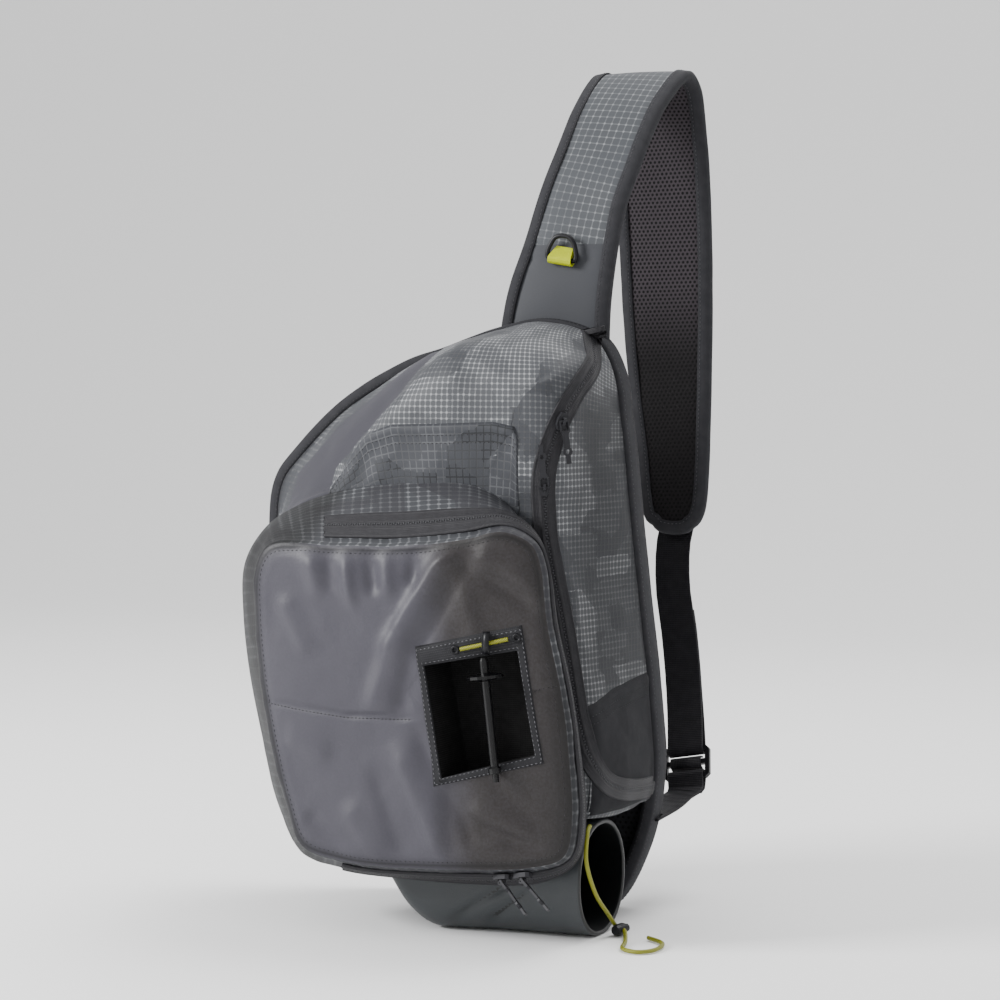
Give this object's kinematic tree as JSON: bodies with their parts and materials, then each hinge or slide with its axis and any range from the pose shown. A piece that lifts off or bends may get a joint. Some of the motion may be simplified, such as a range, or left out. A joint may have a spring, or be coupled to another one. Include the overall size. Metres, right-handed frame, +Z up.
{
  "type": "fishing tackle sling bag",
  "caption": "Upright one-shoulder sling pack with a padded back panel, a gusseted front pocket with a recessed window, a side zip, a bottle sleeve in the base and a wide padded strap.",
  "frame": {"origin": "centre of the base's flat bottom, on the floor", "axes": "+X towards the viewer's right when the front pocket faces the viewer, +Y towards the wearer's back and the strap, +Z up"},
  "size_m": [0.3738, 0.3248, 0.6246],
  "materials": {
    "coated": "coated nylon twill with a soft sheen",
    "ripstop": "ripstop nylon with a grid of light dots",
    "dark": "matt dark nylon",
    "base": "heavy coated nylon, moulded",
    "plastic": "dark moulded plastic and dark metal zip parts",
    "yellow": "braided yellow-green elastic and webbing"
  },
  "bodies": {
    "bag": {"main_body": "ripstop", "back_panel": "dark", "back_binding": "dark", "front_pocket": "coated", "pocket_zip_tape": "dark", "main_zip_tape": "dark", "slash_pocket": "dark", "fly_patch": "dark", "base_sleeve": "base", "window_frame": "dark", "window_well": "dark", "shoulder_strap": "ripstop", "strap_binding": "dark", "main_zip_slider_upper": "plastic", "main_zip_slider_lower": "plastic", "pocket_zip_slider_left": "plastic", "pocket_zip_slider_right": "plastic", "d_ring_tab": "yellow", "webbing_anchor": "dark", "strap_webbing": "dark", "slider_buckle": "plastic", "lower_webbing": "dark", "tippet_cord": "yellow", "tippet_post": "plastic", "retention_cord": "yellow", "cord_lock": "plastic"},
    "main_pull_upper": {"main_zip_pull_upper": "plastic"},
    "main_pull_lower": {"main_zip_pull_lower": "plastic"},
    "pocket_pull_left": {"pocket_zip_pull_left": "plastic"},
    "pocket_pull_right": {"pocket_zip_pull_right": "plastic"},
    "ring": {"d_ring": "plastic"}
  },
  "joints": [
    {"name": "main_pull_upper_swing", "type": "hinge", "parent": "bag", "child": "main_pull_upper", "pos_m": [0.05197, -0.02585, 0.36225], "axis": [-0.6983, -0.7014, -0.1427], "range_deg": [0, 150]},
    {"name": "main_pull_lower_swing", "type": "hinge", "parent": "bag", "child": "main_pull_lower", "pos_m": [0.04043, -0.03312, 0.31601], "axis": [0.9188, 0.3842, 0.0909], "range_deg": [0, 150]},
    {"name": "pocket_pull_left_swing", "type": "hinge", "parent": "bag", "child": "pocket_pull_left", "pos_m": [0.02983, -0.08026, 0.04618], "axis": [0.012, 0.9331, -0.3594], "range_deg": [0, 80]},
    {"name": "pocket_pull_right_swing", "type": "hinge", "parent": "bag", "child": "pocket_pull_right", "pos_m": [0.04519, -0.07975, 0.04849], "axis": [0.0238, 0.9268, -0.3749], "range_deg": [-45, 20]},
    {"name": "d_ring_swing", "type": "hinge", "parent": "bag", "child": "ring", "pos_m": [0.00275, 0.07953, 0.47861], "axis": [0.986, -0.026, -0.1644], "range_deg": [0, 150]}
  ]
}
